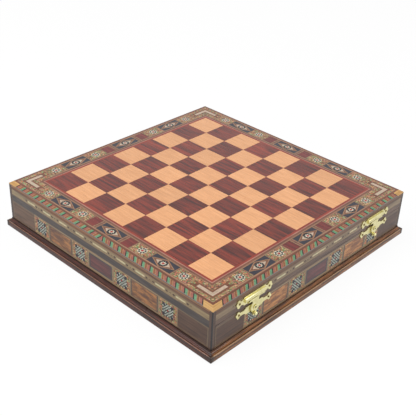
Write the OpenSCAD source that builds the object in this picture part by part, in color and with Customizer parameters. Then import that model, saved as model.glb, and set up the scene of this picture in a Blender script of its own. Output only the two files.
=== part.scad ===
// Marquetry chess box on a moulded base, with a drawer behind the front face and
// another behind the back face. Each drawer is kept shut by two brass hook clasps.
// Millimetres, +Z up, +X along the front face, origin under the middle of the base.

/* [Playing field] */
// Side of one square
square = 38; // [34:0.5:44]
// Saw line left between two veneers
kerf = 0.1; // [0.05:0.05:0.3]
// Thickness of every veneer and inlay
veneer_t = 1; // [0.8:0.1:1.5]
// Width of the red line round the field
field_line = 2.8; // [1.5:0.1:4]

/* [Border of the top] */
// Width of the border, from the field to the edge
border_w = 32; // [30:0.5:40]
// Distance from the field to the middle of the row of cells
cell_mid = 17.8; // [17:0.1:19]
// Clear width of the cells, across the border
cell_w = 17.4; // [14:0.1:18]
// Width of the pale lines round the cells
cell_line = 1.8; // [1:0.1:2.2]
// Length of a rosewood tile
tile_l = 14.2; // [10:0.1:18]
// Width of the cross line beside the middle lozenge
tile_gap = 6.2; // [3:0.1:8]
// Length of the star cell beside the tile
inner_star_l = 28.6; // [20:0.1:30]
// Length of the star cell beside the corner
outer_star_l = 25.8; // [20:0.1:28]
// Distance from the end of the row of cells to the corner of the field
row_inset = 14; // [8:0.5:20]
// Ground above and below a star in its cell
star_ground = 2.4; // [0.5:0.1:3]
// Ground between a star and the sides of its lozenge
lozenge_ground = 1.6; // [1.5:0.1:3.5]
// Outer edge of the corner bars, from the field
bar_out = 21; // [18:0.1:24]
// Width of the corner bars
bar_w = 4.8; // [3:0.1:7]
// Length of each arm of a corner bar
bar_l = 25; // [18:0.5:28]

/* [Box] */
// Height of the box
box_h = 70.5; // [66:0.5:84]
// Thickness of the walls, rails and drawer fronts
wall_t = 10; // [8:0.5:12]
// Thickness of the board under the marquetry
top_t = 12; // [9:0.5:14]
// Thickness of the bottom board
bottom_t = 8; // [5:0.5:9]
// Thickness of the wall between the two drawers
divider_t = 8; // [6:0.5:12]
// Width of the bevel round the top
bevel_w = 5; // [3:0.5:8]
// Height of the bevel
bevel_h = 3.5; // [2:0.25:5]
// Height of the straight edge under the bevel
lip_h = 1; // [0.5:0.25:2]
// Length of the pale blocks at the corners of the bevel
corner_block = 19; // [12:0.5:24]
// Lean of the ends of those blocks, and of the stripes between them
block_lean = 4; // [0:0.5:6]
// Side of the posts at the corners
post = 5; // [3:0.5:6]

/* [Base moulding] */
// Height of the moulding
base_h = 12.5; // [12:0.25:16]
// Overhang of the moulding
base_out = 6; // [5:0.25:9]
// Width of the moulding's tongue under the bottom board
base_tongue = 12; // [8:0.5:20]
// Radius of the cove
cove_r = 3.6; // [1.5:0.1:3.6]
// Radius of the round under the lip
toe_r = 1.6; // [0.5:0.1:2]
// Radius of the moulding's eased corners
base_round = 2; // [0.5:0.5:4]

/* [Side pattern] */
// Height of the plain strip under the bevel
crown_h = 5.5; // [3:0.25:7]
// Height of the strip with the pearl bars
pearl_h = 9.3; // [6:0.1:11]
// Height of the dark band
dark_h = 9.2; // [8:0.1:11]
// Width of the pale lines round the panels
panel_line = 2; // [1:0.1:3]
// Height of bare wood under the panels
panel_foot = 1.5; // [1:0.25:4]
// Length of the rosewood panel in the middle
middle_l = 47; // [30:0.5:60]
// Length of a star panel
star_panel_l = 28.5; // [26:0.1:34]
// Length of a burl panel
burl_l = 47.5; // [30:0.5:56]
// Least ground between a star and the edge of its panel
panel_ground = 1; // [0.5:0.1:4]
// Height of a pearl bar
pearl_bar_h = 2.4; // [2:0.1:5]
// Length of the pearl bar in the middle
pearl_mid_l = 26; // [16:0.5:34]
// Length of the other pearl bars
pearl_l = 15.6; // [10:0.1:24]
// Gap between two pearl bars
pearl_gap = 18.1; // [10:0.1:24]
// Least distance from the last pearl bar to the post
pearl_end = 30; // [10:1:50]

/* [Drawers] */
// Height of a drawer front above its panels
seam_lift = 2.4; // [2:0.1:5]
// Gap round a drawer front
front_gap = 0.4; // [0.3:0.05:1]
// Gap beside and behind a drawer
side_gap = 0.5; // [0.3:0.1:1]
// Gap under a drawer and under its kickers
slide_gap = 0.3; // [0.2:0.05:0.6]
// Thickness of the drawer's sides and back
side_t = 8; // [6:0.5:9]
// Depth of the drawer's sides below the top of its front
side_drop = 1.4; // [0.5:0.1:6]
// Height of the stop, the part of the drawer's back that laps the rail
stop_h = 6; // [3:0.5:9]
// Thickness of the drawer's bottom
floor_t = 4; // [3:0.5:6]
// Height of the groove for the bottom
groove_lift = 3; // [2:0.5:5]
// Depth of that groove
groove_d = 4; // [2:0.5:5]
// Clearance of a board in its groove or slot
groove_fit = 0.1; // [0.05:0.05:0.3]
// Compartments along a drawer
columns = 4; // [2:1:6]
// Thickness of the compartment boards
board_t = 3; // [2:0.5:5]
// Depth of the compartment boards below the drawer's sides
board_drop = 2; // [0:0.5:8]
// Thickness of the velvet pads
pad_t = 3; // [2:0.5:5]
// Gap round a velvet pad
pad_gap = 0.3; // [0.2:0.1:1]
// Width of the kickers over the drawer's sides
kicker_w = 10; // [9:0.5:14]

/* [Clasps] */
// Distance from the middle of the face to a clasp
clasp_at = 121; // [90:0.5:130]
// Length of a clasp plate, from ear to ear
clasp_l = 61.5; // [56:0.5:72]
// Thickness of the plates
plate_t = 1.2; // [0.8:0.1:2]
// Height of the lower plate
plate_h = 9.8; // [9:0.1:11.5]
// Height of the keeper
keeper_h = 11.2; // [10:0.1:13]
// Height of the keeper over the seam
keeper_lift = 4.8; // [3:0.1:5]
// Length of the keeper's raised bar
ridge_l = 35; // [30:0.5:42]
// Height of that bar
ridge_h = 5.6; // [5:0.1:8]
// How far the bar stands out of the keeper
ridge_out = 2.1; // [1.5:0.1:3]
// Thickness of the hook
hook_t = 1.5; // [1:0.1:2]
// Width of the hook's neck
neck_w = 12; // [8:0.1:14]
// Radius of the hook's disc
disc_r = 7.2; // [6:0.1:8]
// Distance from the pivot to the knob
knob_at = 9; // [8:0.1:10]
// Radius of the knob
knob_r = 2.4; // [2:0.1:3.5]
// Height of the knob
knob_h = 3.2; // [3:0.1:5]
// Radius of the rivet
rivet_r = 1.6; // [1.2:0.1:2]
// Clearance of the hook round its rivet
rivet_fit = 0.05; // [0.02:0.01:0.1]
// Gap between the hook and what it passes
hook_gap = 0.3; // [0.2:0.05:0.5]
// Radius of a nail
nail_r = 0.8; // [0.5:0.1:1]

/* [Hidden] */
$fn = 48;
over = 1;                                   // how far a cutting solid runs past a face

// Plan
field = 4 * square;                         // half the playing field
flat = field + border_w;                    // half the flat top
body = flat + bevel_w;                      // half the body
inner = body - wall_t;                      // half the inside

// Heights
veneer_z = box_h - veneer_t;                // underside of the marquetry
edge_z = box_h - bevel_h - lip_h;           // top of the walls
top_z = veneer_z - top_t;                   // underside of the top board
panel_top = edge_z - crown_h - pearl_h - dark_h;
dark_z = panel_top + dark_h;                // top of the dark band
pearl_z = dark_z + pearl_h;                 // top of the pearl strip
floor_z = base_h;                           // top of the bottom board
base_lift = floor_z - bottom_t;             // underside of the bottom board
panel_z = base_h + panel_foot;              // foot of the panels
front_z = base_h + front_gap;               // foot of a drawer front
seam_z = panel_top + seam_lift;             // top of a drawer front
rail_z = seam_z + front_gap;                // underside of a rail

// Cells of the border, from the middle of a side to its end
row_l = field - row_inset;
lozenge_l = (row_l - tile_gap - tile_l - inner_star_l - outer_star_l - 3 * cell_line) / 1.5;
tile_x = lozenge_l / 2 + tile_gap + tile_l / 2;
star_x = tile_x + tile_l / 2 + cell_line + inner_star_l / 2;
lozenge_x = star_x + inner_star_l / 2 + cell_line + lozenge_l / 2;
end_star_x = lozenge_x + lozenge_l / 2 + cell_line + outer_star_l / 2;
cell_y = field + cell_mid;
row_w = cell_w + 2 * cell_line;
cell_star_r = cell_w / 2 - star_ground;
lozenge_in = lozenge_l * cell_w / 2 / norm([lozenge_l, cell_w]);
lozenge_star_r = lozenge_in - lozenge_ground;

// Panels of a side, from its middle to its end
side_l = body - post;
star_panel_x = middle_l / 2 + panel_line + star_panel_l / 2;
burl_x = star_panel_x + star_panel_l / 2 + panel_line + burl_l / 2;
end_star_panel_x = burl_x + burl_l / 2 + panel_line + star_panel_l / 2;
end_panel_x = end_star_panel_x + star_panel_l / 2 + panel_line;
end_panel_l = side_l - panel_line - end_panel_x;
window_h = panel_top - panel_z - 2 * panel_line;
window_z = panel_z + panel_line;
panel_star_r = min(star_panel_l, window_h) / 2 - panel_ground;
pearl_x = pearl_mid_l / 2 + pearl_gap + pearl_l / 2;
pearl_pitch = pearl_l + pearl_gap;
pearls = max(0, floor((side_l - pearl_end - pearl_l / 2 - pearl_x) / pearl_pitch) + 1);

// Drawers, as the front one lies
drawer_x = inner - side_gap;                // outer face of a side
drawer_in = drawer_x - side_t;              // inner face of a side
drawer_end = divider_t / 2 + side_gap;      // rear face, from the middle of the box
bay_end = drawer_end + side_t;              // rear end of the compartments
drawer_z = floor_z + slide_gap;
floor_under = drawer_z + groove_lift;
floor_top = floor_under + floor_t;
side_top = seam_z - side_drop;
boards_z = side_top - board_drop;
back_top = rail_z + stop_h;
stop_x = inner - kicker_w - side_gap - side_t / 2;
column_w = (2 * drawer_in - (columns - 1) * board_t) / columns;
row_d = (inner - bay_end - board_t) / 2;
row_mid = (inner + bay_end) / 2;

pad_round = 2;                              // corners of a velvet pad

// Moulding
moulding_drop = 0.5;                        // height of its top edge over the cove
moulding_flat = 0.6;                        // width of the flats above and below the cove

// Clasps
plate_z = seam_z - hook_gap - plate_h / 2;
keeper_z = seam_z + keeper_lift + keeper_h / 2;
ear_in = 5.2;                               // from the tip of a plate to its nail
ear_x = clasp_l / 2 - ear_in;
ear_round = 0.34;                           // round of an ear, as a share of the height
ear_lobe = 0.22;                            // each lobe of an ear, as a share of the height
shoulder = 0.36;                            // round end of the middle part, the same
waist = 0.5;                                // height between middle part and ear, the same
keeper_end = 2;                             // keeper's middle part past its bar
plate_cut = 6;                              // lower plate's middle part, short of the bar
belly_r = disc_r - 2;                       // round of the lower plate under the disc
belly_in = 1;                               // its middle over the plate's lower edge
ridge_in = 2;                               // from the keeper's top edge to the bar
ridge_round = 1.4;
ridge_wall = 1;                             // wall of the hollow bar
ridge_z = keeper_z + (keeper_h - ridge_h) / 2 - ridge_in;

// Hooks and rivets
hook_y = plate_t + hook_gap;
neck_r = ridge_z - ridge_h / 2 - hook_gap - plate_z;
nose_r = neck_r + 2.6;
head_h = 3;                                 // height of the hook's head
throat_r = 2.5;
throat_in = 1.2;                            // from the neck's edge to the throat's middle
tail_w = 5.2;
tail_r = 3.3;                               // round end of the tail, under the knob
knob_stem_r = 1.5;
knob_round = 1;
rivet_head_r = rivet_r + 1.4;
rivet_head_h = 0.9;
rivet_bore = 0.6;                           // hollow of the rivet, as a share of its radius

wood_red = [0.34, 0.15, 0.10];
wood_dark = [0.20, 0.17, 0.17];
wood_inside = [0.72, 0.56, 0.38];
pale_line = [0.60, 0.45, 0.30];
pearl = [0.86, 0.82, 0.72];
brass = [0.86, 0.74, 0.34];

// ---- shared shapes ----

// Points of an arc
function arc(cx, cy, r, from, to, steps = 6) =
    [for (i = [0 : steps]) let (a = from + (to - from) * i / steps)
        [cx + r * cos(a), cy + r * sin(a)]];

// Points of a regular star
function star(r, points = 8, waist = 0.72) =
    [for (i = [0 : 2 * points - 1]) let (k = i % 2 == 0 ? r : r * waist, a = 180 / points * i)
        [k * cos(a), k * sin(a)]];

module box_of(x0, x1, y0, y1, z0, z1)
    translate([x0, y0, z0]) cube([x1 - x0, y1 - y0, z1 - z0]);

module rect(l, w) square([l, w], center = true);

module each_side() for (q = [0 : 3]) rotate([0, 0, 90 * q]) children();

module both_ways() {
    children();
    mirror([1, 0, 0]) children();
}

module both_ends(side) mirror([0, side == "back" ? 1 : 0, 0]) children();

module turned(side) rotate([0, 0, side == "back" ? 180 : 0]) children();

// Quarter of the plan that belongs to the front side, less the saw line of its mitres
module front_wedge(saw = 0) polygon([[0, -saw], [-2 * body, -2 * body - saw],
                                     [2 * body, -2 * body - saw]]);

// A flat shape of the marquetry at its height
module inlay() translate([0, 0, veneer_z]) linear_extrude(veneer_t) children();

// A shape drawn on the front face, in x and z, and sunk into it
module face_inlay() translate([0, -body + veneer_t, 0]) rotate([90, 0, 0])
    linear_extrude(veneer_t) children();

// A shape drawn in x and z, standing out of the front face
module on_face(from, thick) translate([0, -body - from, 0]) rotate([90, 0, 0])
    linear_extrude(thick) children();

// A section in y and z, drawn along x and mitred at both ends
module mitred(half, saw = 0) intersection() {
    rotate([90, 0, 90]) translate([0, 0, -half]) linear_extrude(2 * half) children();
    linear_extrude(4 * box_h, center = true) front_wedge(saw);
}

// ---- case ----

module bottom_board() color(wood_inside)
    box_of(-body, body, -body, body, base_lift, floor_z);

// Section of the moulding: tongue, cove, bead, lip and toe
module moulding_section() {
    cove_z = base_h - moulding_drop;
    bead_z = cove_z - cove_r;
    bead_r = base_out - cove_r - 2 * moulding_flat;
    points = concat(
        [[base_tongue, 0], [base_tongue, base_lift], [0, base_lift], [0, base_h],
         [-moulding_flat, base_h]],
        arc(-moulding_flat - cove_r, cove_z, cove_r, 0, -90),
        arc(bead_r - base_out, bead_z - bead_r, bead_r, 90, 180),
        arc(toe_r - base_out, toe_r, toe_r, 180, 270));
    translate([-body, 0]) polygon(points);
}

module base_moulding() color(wood_red) each_side() intersection() {
    mitred(body + base_out, kerf) moulding_section();
    linear_extrude(base_h) rounded(2 * (body + base_out), 2 * (body + base_out), base_round);
}

// Left wall: rebated for the drawer fronts and rails, notched for the posts, and
// cut back under the veneers
module side_wall() difference() {
    box_of(-body, -inner, -body, body, floor_z, edge_z);
    for (s = ["front", "back"]) both_ends(s) {
        box_of(-side_l, -inner + over, -body - over, -inner, floor_z - over, edge_z + over);
        box_of(-body - over, -side_l + over, -body - over, -side_l, floor_z - over, edge_z + over);
    }
    box_of(-body - over, -body + veneer_t, -side_l - over, side_l + over, panel_z, pearl_z);
}

module side_wall_left() color(wood_red) side_wall();
module side_wall_right() color(wood_red) mirror([1, 0, 0]) side_wall();

module top_rails() color(wood_red) for (s = ["front", "back"]) turned(s) difference() {
    box_of(-side_l, side_l, -body, -inner, rail_z, edge_z);
    box_of(-side_l - over, side_l + over, -body - over, -body + veneer_t, rail_z - over, pearl_z);
}

module middle_wall() color(wood_inside)
    box_of(-inner, inner, -divider_t / 2, divider_t / 2, floor_z, top_z);

// Strips under the top that keep an open drawer level
module drawer_kickers() color(wood_inside)
    for (s = ["front", "back"]) turned(s) both_ways()
        box_of(inner - kicker_w, inner, -inner, -divider_t / 2, side_top + slide_gap, top_z);

module top_board() color(wood_inside) union() {
    box_of(-inner, inner, -inner, inner, top_z, edge_z);
    box_of(-flat, flat, -flat, flat, edge_z, veneer_z);
}

// ---- marquetry of the top ----

module squares(odd) inlay() for (i = [0 : 7], j = [0 : 7]) if ((i + j) % 2 == odd)
    translate([(i - 3.5) * square, (j - 3.5) * square]) rect(square - kerf, square - kerf);

module light_squares() color([0.93, 0.67, 0.45]) squares(0);
module dark_squares() color([0.38, 0.10, 0.08]) squares(1);

module field_line_frame() color([0.62, 0.20, 0.14]) inlay() difference() {
    rect(2 * (field + field_line), 2 * (field + field_line));
    rect(2 * field, 2 * field);
}

module star_cells() for (c = [[star_x, inner_star_l], [end_star_x, outer_star_l]], s = [-1, 1])
    translate([s * c[0], -cell_y]) rect(c[1], cell_w);

module star_places() for (x = [star_x, end_star_x], s = [-1, 1])
    translate([s * x, -cell_y]) children();

module lozenge_places() for (x = [-lozenge_x, 0, lozenge_x])
    translate([x, -cell_y]) children();

module tile_places() for (s = [-1, 1]) translate([s * tile_x, -cell_y]) children();

module corner_bar_plan() intersection() {
    both_ways() translate([field + bar_out - bar_l, -field - bar_out]) square([bar_l, bar_w]);
    front_wedge();
}

// Mosaic boards round the field, mitred at the corners, and the grounds of the star cells
module border_ground() color([0.42, 0.27, 0.20]) each_side() inlay() {
    difference() {
        intersection() {
            translate([-flat, -flat]) square([2 * flat, border_w - field_line]);
            front_wedge(kerf);
        }
        translate([0, -cell_y]) rect(2 * row_l, row_w);
        corner_bar_plan();
    }
    difference() {
        star_cells();
        star_places() polygon(star(cell_star_r));
    }
}

module border_lines() color(pale_line) each_side() inlay() difference() {
    translate([0, -cell_y]) rect(2 * row_l, row_w);
    star_cells();
    lozenge_places() rect(lozenge_l, cell_w);
    tile_places() rect(tile_l, cell_w);
}

module rhombus(l, w) polygon([[l / 2, 0], [0, w / 2], [-l / 2, 0], [0, -w / 2]]);

module border_lozenges() color([0.55, 0.38, 0.24]) each_side() inlay() lozenge_places()
    difference() {
        rhombus(lozenge_l, cell_w);
        polygon(star(lozenge_star_r));
    }

module border_triangles() color([0.16, 0.17, 0.22]) each_side() inlay() lozenge_places()
    for (a = [-0.5, 0.5], b = [-0.5, 0.5])
        polygon([[a * lozenge_l, b * cell_w], [a * kerf, b * cell_w], [a * lozenge_l, b * kerf]]);

module border_stars() color(pearl) each_side() inlay() {
    lozenge_places() polygon(star(lozenge_star_r - kerf));
    star_places() polygon(star(cell_star_r - kerf));
}

module border_tiles() color([0.45, 0.12, 0.10]) each_side() inlay() tile_places()
    rect(tile_l - kerf, cell_w - kerf);

module corner_pearl_bars() color(pearl) each_side() inlay() corner_bar_plan();

// ---- edge of the top ----

module bevel_section() polygon([[-body, edge_z], [-body, edge_z + lip_h],
                                [-flat, box_h], [-flat, edge_z]]);

// Space of the front edging, from one corner block to the other, or longer at one end
module between_blocks(left = 0, right = 0) linear_extrude(box_h + over) {
    half = body - corner_block;
    lean = block_lean / bevel_w;
    polygon([[-half - left, -flat + over], [-half - left, -flat],
             [-half - left - block_lean - lean, -body - over],
             [half + right + block_lean + lean, -body - over],
             [half + right, -flat], [half + right, -flat + over]]);
}

module rope_edging() color([0.45, 0.36, 0.30]) each_side() intersection() {
    mitred(body) bevel_section();
    between_blocks();
}

module bevel_corner_blocks() color([0.85, 0.58, 0.30]) each_side() union() {
    difference() {
        mitred(body) bevel_section();
        between_blocks(right = corner_block);
    }
    rotate([0, 0, -90]) difference() {
        mitred(body) bevel_section();
        between_blocks(left = corner_block);
    }
}

// ---- pattern of the sides ----

module corner_posts() color([0.33, 0.28, 0.26]) each_side()
    box_of(-body, -side_l, -body, -side_l, floor_z, edge_z);

module pearl_bar_plan(fit = 0) translate([0, pearl_z - pearl_h / 2]) {
    rect(pearl_mid_l - fit, pearl_bar_h - fit);
    if (pearls > 0) for (i = [0 : pearls - 1], s = [-1, 1])
        translate([s * (pearl_x + i * pearl_pitch), 0]) rect(pearl_l - fit, pearl_bar_h - fit);
}

module pearl_strips() color([0.45, 0.35, 0.27]) each_side() face_inlay() difference() {
    translate([-side_l, dark_z]) square([2 * side_l, pearl_h]);
    pearl_bar_plan();
}

module side_pearl_bars() color(pearl) each_side() face_inlay() pearl_bar_plan(kerf);

module dark_bands() color(wood_dark) {
    for (s = ["front", "back"]) turned(s) face_inlay()
        translate([-side_l, rail_z]) square([2 * side_l, dark_z - rail_z]);
    for (s = ["front", "back"]) turned(s) rotate([0, 0, -90]) face_inlay()
        translate([-side_l, panel_top]) square([2 * side_l, dark_h]);
}

module middle_window(fit = 0) translate([0, window_z + window_h / 2])
    rect(middle_l - fit, window_h - fit);

module star_windows(fit = 0) for (x = [star_panel_x, end_star_panel_x], s = [-1, 1])
    translate([s * x, window_z + window_h / 2]) rect(star_panel_l - fit, window_h - fit);

module veneer_windows(fit = 0) for (p = [[burl_x, burl_l],
                                         [end_panel_x + end_panel_l / 2, end_panel_l]],
                                    s = [-1, 1])
    translate([s * p[0], window_z + window_h / 2]) rect(p[1] - fit, window_h - fit);

// Pale lines round the panels of one face, shortened by the gap at a drawer's ends
module panel_lines(gap) color(pale_line) face_inlay() difference() {
    translate([gap - side_l, panel_z]) square([2 * (side_l - gap), panel_top - panel_z]);
    middle_window();
    star_windows();
    veneer_windows();
}

// Mosaic square with a star let into it
module star_panels() color([0.35, 0.33, 0.32]) face_inlay() {
    difference() {
        star_windows(kerf);
        for (x = [star_panel_x, end_star_panel_x], s = [-1, 1])
            translate([s * x, window_z + window_h / 2]) polygon(star(panel_star_r));
    }
    for (x = [star_panel_x, end_star_panel_x], s = [-1, 1])
        translate([s * x, window_z + window_h / 2]) polygon(star(panel_star_r - kerf));
}

module on_walls() for (a = [-90, 90]) rotate([0, 0, a]) children();

module wall_panel_lines() on_walls() panel_lines(0);
module wall_star_panels() on_walls() star_panels();
module veneer_panels() color([0.42, 0.25, 0.15]) face_inlay() veneer_windows(kerf);
module middle_panel() color([0.26, 0.11, 0.12]) face_inlay() middle_window(kerf);
module wall_veneer_panels() on_walls() veneer_panels();
module wall_middle_panels() on_walls() middle_panel();

// ---- drawers, drawn at the front ----

module drawer_face() color(wood_dark) difference() {
    box_of(front_gap - side_l, side_l - front_gap, -body, -inner, front_z, seam_z);
    box_of(-side_l, side_l, -body - over, -body + veneer_t, panel_z, panel_top);
    box_of(-drawer_in, drawer_in, -inner - groove_d, -inner + over,
           floor_under - groove_fit, floor_top + groove_fit);
}

module drawer_sides() color(wood_inside) both_ways() difference() {
    box_of(drawer_in, drawer_x, -inner, -drawer_end, drawer_z, side_top);
    box_of(drawer_in - over, drawer_in + groove_d, -inner - over, -drawer_end + over,
           floor_under - groove_fit, floor_top + groove_fit);
}

// Back between the sides, raised in the middle so that it stops against the rail
module drawer_back() color(wood_inside) difference() {
    union() {
        box_of(-drawer_in, drawer_in, -bay_end, -drawer_end, drawer_z, side_top);
        box_of(-stop_x, stop_x, -bay_end, -drawer_end, side_top - over, back_top);
    }
    box_of(-body, body, -bay_end - over, -bay_end + groove_d,
           floor_under - groove_fit, floor_top + groove_fit);
}

module drawer_bottom() color(wood_inside) {
    tongue = groove_d - groove_fit;
    box_of(-drawer_in + groove_fit, drawer_in - groove_fit, -inner - tongue, -bay_end + tongue,
           floor_under, floor_top);
    both_ways() box_of(drawer_in - groove_fit, drawer_in + tongue,
                       -inner + groove_fit, -bay_end + tongue, floor_under, floor_top);
}

// Compartment boards, halved together where they cross
module drawer_boards() color(wood_inside) {
    half = (floor_top + boards_z) / 2;
    slot = board_t / 2 + groove_fit;
    difference() {
        box_of(groove_fit - drawer_in, drawer_in - groove_fit,
               -row_mid - board_t / 2, -row_mid + board_t / 2, floor_top, boards_z);
        for (i = [1 : columns - 1])
            translate([i * (column_w + board_t) - drawer_in - board_t / 2, 0, 0])
                box_of(-slot, slot, -inner, -bay_end, half, boards_z + over);
    }
    for (i = [1 : columns - 1])
        translate([i * (column_w + board_t) - drawer_in - board_t / 2, 0, 0]) difference() {
            box_of(-board_t / 2, board_t / 2, groove_fit - inner, -bay_end - groove_fit,
                   floor_top, boards_z);
            box_of(-board_t, board_t, -row_mid - slot, -row_mid + slot, floor_top - over, half);
        }
}

// A thin velvet pad in each compartment, with eased corners
module drawer_pads() color([0.30, 0.07, 0.09])
    for (i = [0 : columns - 1], s = [-1, 1])
        translate([(i + 0.5) * (column_w + board_t) - drawer_in - board_t / 2,
                   -row_mid + s * (row_d + board_t) / 2, floor_top])
            linear_extrude(pad_t) rounded(column_w - 2 * pad_gap, row_d - 2 * pad_gap, pad_round);

module rounded(l, w, r) {
    rect(l - 2 * r, w);
    rect(l, w - 2 * r);
    for (x = [-1, 1], y = [-1, 1]) translate([x * (l / 2 - r), y * (w / 2 - r)]) circle(r);
}

// ---- clasps ----

module clasp_places() for (s = [-1, 1]) translate([s * clasp_at, 0, 0]) children();

// One ear of a plate: three lobes round a nail hole
module ear_plan(h) {
    lobe = h * ear_lobe;
    translate([ear_x, 0]) circle(h * ear_round);
    translate([clasp_l / 2 - lobe, 0]) circle(lobe);
    for (s = [-1, 1]) translate([ear_x + lobe / 2, s * (h / 2 - lobe)]) circle(lobe);
}

module plate_plan(h, middle) {
    rect(middle, h);
    rect(2 * ear_x, h * waist);
    for (s = [-1, 1]) translate([s * middle / 2, 0]) circle(h * shoulder);
    both_ways() ear_plan(h);
}

module nail_holes(r) for (s = [-1, 1]) translate([s * ear_x, 0]) circle(r);

module keepers() color(brass)
    for (f = ["front", "back"]) turned(f) clasp_places() {
        difference() {
            union() {
                on_face(0, plate_t) translate([0, keeper_z]) difference() {
                    plate_plan(keeper_h, ridge_l + keeper_end);
                    nail_holes(nail_r + groove_fit);
                }
                ridge();
            }
            ridge_pocket();
        }
    }

// Rounded bar across the keeper, hollow from below
module ridge() translate([-ridge_l / 2, -body, ridge_z]) rotate([90, 0, 90])
    linear_extrude(ridge_l) {
        depth = plate_t + ridge_out;
        translate([-depth + ridge_round, -ridge_h / 2]) square([depth - ridge_round, ridge_h]);
        translate([-depth, -ridge_h / 2 + ridge_round])
            square([ridge_round + over / 2, ridge_h - 2 * ridge_round]);
        for (s = [-1, 1]) translate([-depth + ridge_round, s * (ridge_h / 2 - ridge_round)])
            circle(ridge_round);
    }

module ridge_pocket() box_of(2 * ridge_wall - ridge_l / 2, ridge_l / 2 - 2 * ridge_wall,
                             -body - plate_t - ridge_out + ridge_wall, -body - plate_t,
                             ridge_z - ridge_h, ridge_z + ridge_h / 2 - ridge_round);

module nails_at(z) translate([0, 0, z]) for (s = [-1, 1])
    translate([s * ear_x, -body, 0]) rotate([90, 0, 0]) {
        cylinder(r = nail_r, h = plate_t);
        translate([0, 0, plate_t]) cylinder(r1 = 2 * nail_r, r2 = nail_r, h = nail_r);
    }

module keeper_nails() color([0.45, 0.34, 0.16])
    for (f = ["front", "back"]) turned(f) clasp_places() nails_at(keeper_z);

module clasp_plates() color(brass) clasp_places()
    on_face(0, plate_t) translate([0, plate_z]) difference() {
        union() {
            plate_plan(plate_h, ridge_l - plate_cut);
            translate([0, belly_in - plate_h / 2]) circle(belly_r);
        }
        circle(rivet_r + rivet_fit);
        nail_holes(nail_r + groove_fit);
    }

// Hollow rivet that the hook turns on
module clasp_rivets() color(brass) clasp_places()
    translate([0, -body, plate_z]) rotate([90, 0, 0]) rotate_extrude() {
        top = hook_y + hook_t + hook_gap / 3;
        difference() {
            union() {
                square([rivet_r, top + rivet_head_h]);
                translate([0, top]) square([rivet_head_r, rivet_head_h]);
            }
            translate([-over, plate_t]) square([over + rivet_r * rivet_bore, top + over]);
        }
    }

module clasp_nails() color([0.45, 0.34, 0.16]) clasp_places() nails_at(plate_z);

// Outline of the hook round its pivot: neck under the keeper's bar, nose and throat on
// the left, disc, and tail down to the knob
module hook_plan() difference() {
    union() {
        circle(disc_r);
        intersection() {
            translate([-neck_w / 2, 0]) square([neck_w, 2 * neck_r]);
            circle(neck_r);
        }
        intersection() {
            translate([-neck_w, neck_r - head_h]) square([neck_w, head_h]);
            circle(nose_r);
        }
        translate([-tail_w / 2, -knob_at]) square([tail_w, knob_at]);
        translate([0, -knob_at]) circle(tail_r);
    }
    translate([-neck_w / 2 - throat_in, neck_r - head_h - throat_r]) circle(throat_r);
    circle(rivet_r + rivet_fit);
}

module knob_profile() polygon(concat(
    [[0, -hook_t / 2], [knob_stem_r, -hook_t / 2], [knob_stem_r, knob_h / 5]],
    arc(knob_r - knob_round, knob_h / 5 + knob_round, knob_round, -90, 0),
    arc(knob_r - knob_round, knob_h - knob_round, knob_round, 0, 90),
    [[0, knob_h]]));

module hook() translate([0, -body, plate_z]) rotate([90, 0, 0]) union() {
    translate([0, 0, hook_y]) linear_extrude(hook_t) hook_plan();
    translate([0, -knob_at, hook_y + hook_t]) rotate_extrude() knob_profile();
}

module hook_at(face, s) color(brass) turned(face) translate([s * clasp_at, 0, 0]) hook();

// ---- nodes ----

bottom_board();
base_moulding();
side_wall_left();
side_wall_right();
top_rails();
middle_wall();
drawer_kickers();
top_board();
light_squares();
dark_squares();
field_line_frame();
border_ground();
border_lines();
border_lozenges();
border_triangles();
border_stars();
border_tiles();
corner_pearl_bars();
rope_edging();
bevel_corner_blocks();
corner_posts();
pearl_strips();
side_pearl_bars();
dark_bands();
wall_panel_lines();
wall_star_panels();
wall_veneer_panels();
wall_middle_panels();
keepers();
keeper_nails();
drawer_face();  // front_drawer_face
drawer_sides();  // front_drawer_sides
drawer_back();  // front_drawer_back
drawer_bottom();  // front_drawer_bottom
drawer_boards();  // front_drawer_boards
drawer_pads();  // front_drawer_pads
panel_lines(front_gap);  // front_panel_lines
star_panels();  // front_star_panels
veneer_panels();  // front_veneer_panels
middle_panel();  // front_middle_panel
clasp_plates();  // front_clasp_plates
clasp_rivets();  // front_clasp_rivets
clasp_nails();  // front_clasp_nails
hook_at("front", -1);  // front_hook_left
hook_at("front", 1);  // front_hook_right
turned("back") drawer_face();  // back_drawer_face
turned("back") drawer_sides();  // back_drawer_sides
turned("back") drawer_back();  // back_drawer_back
turned("back") drawer_bottom();  // back_drawer_bottom
turned("back") drawer_boards();  // back_drawer_boards
turned("back") drawer_pads();  // back_drawer_pads
turned("back") panel_lines(front_gap);  // back_panel_lines
turned("back") star_panels();  // back_star_panels
turned("back") veneer_panels();  // back_veneer_panels
turned("back") middle_panel();  // back_middle_panel
turned("back") clasp_plates();  // back_clasp_plates
turned("back") clasp_rivets();  // back_clasp_rivets
turned("back") clasp_nails();  // back_clasp_nails
hook_at("back", -1);  // back_hook_left
hook_at("back", 1);  // back_hook_right
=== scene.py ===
"""The looks of the marquetry chess box: its veneers, mosaics, lacquer, brass and velvet."""

import math
import random
import bpy
from mathutils import Matrix, Vector


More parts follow.
